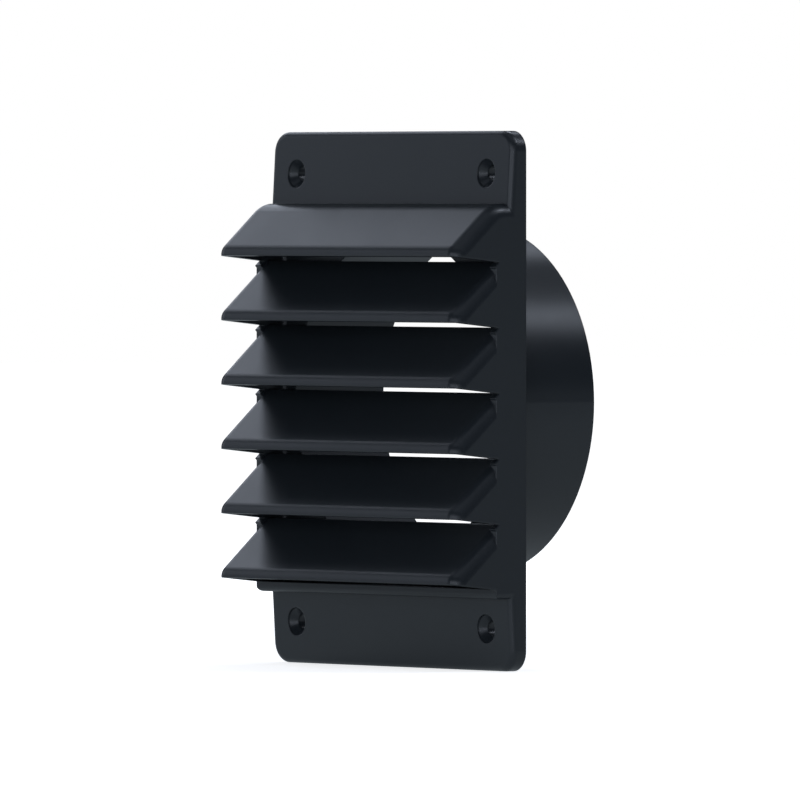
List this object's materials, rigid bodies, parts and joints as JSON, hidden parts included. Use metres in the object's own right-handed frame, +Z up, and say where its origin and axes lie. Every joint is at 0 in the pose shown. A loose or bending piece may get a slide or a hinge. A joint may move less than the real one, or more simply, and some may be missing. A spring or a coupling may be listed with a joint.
{
  "type": "ventilation grille",
  "caption": "Wall ventilation grille with fixed sloping slats in front, a round duct spigot behind and countersunk screw tabs above and below.",
  "frame": {"origin": "in the wall plane, at the middle between the four screw holes", "axes": "+X to the right seen from the front, +Y into the wall along the spigot, +Z up"},
  "size_m": [0.11, 0.054, 0.1504],
  "materials": {
    "grille_body": "dark anthracite moulded plastic, semi-matt"
  },
  "bodies": {
    "root": {"grille_body": "grille_body"}
  },
  "joints": []
}
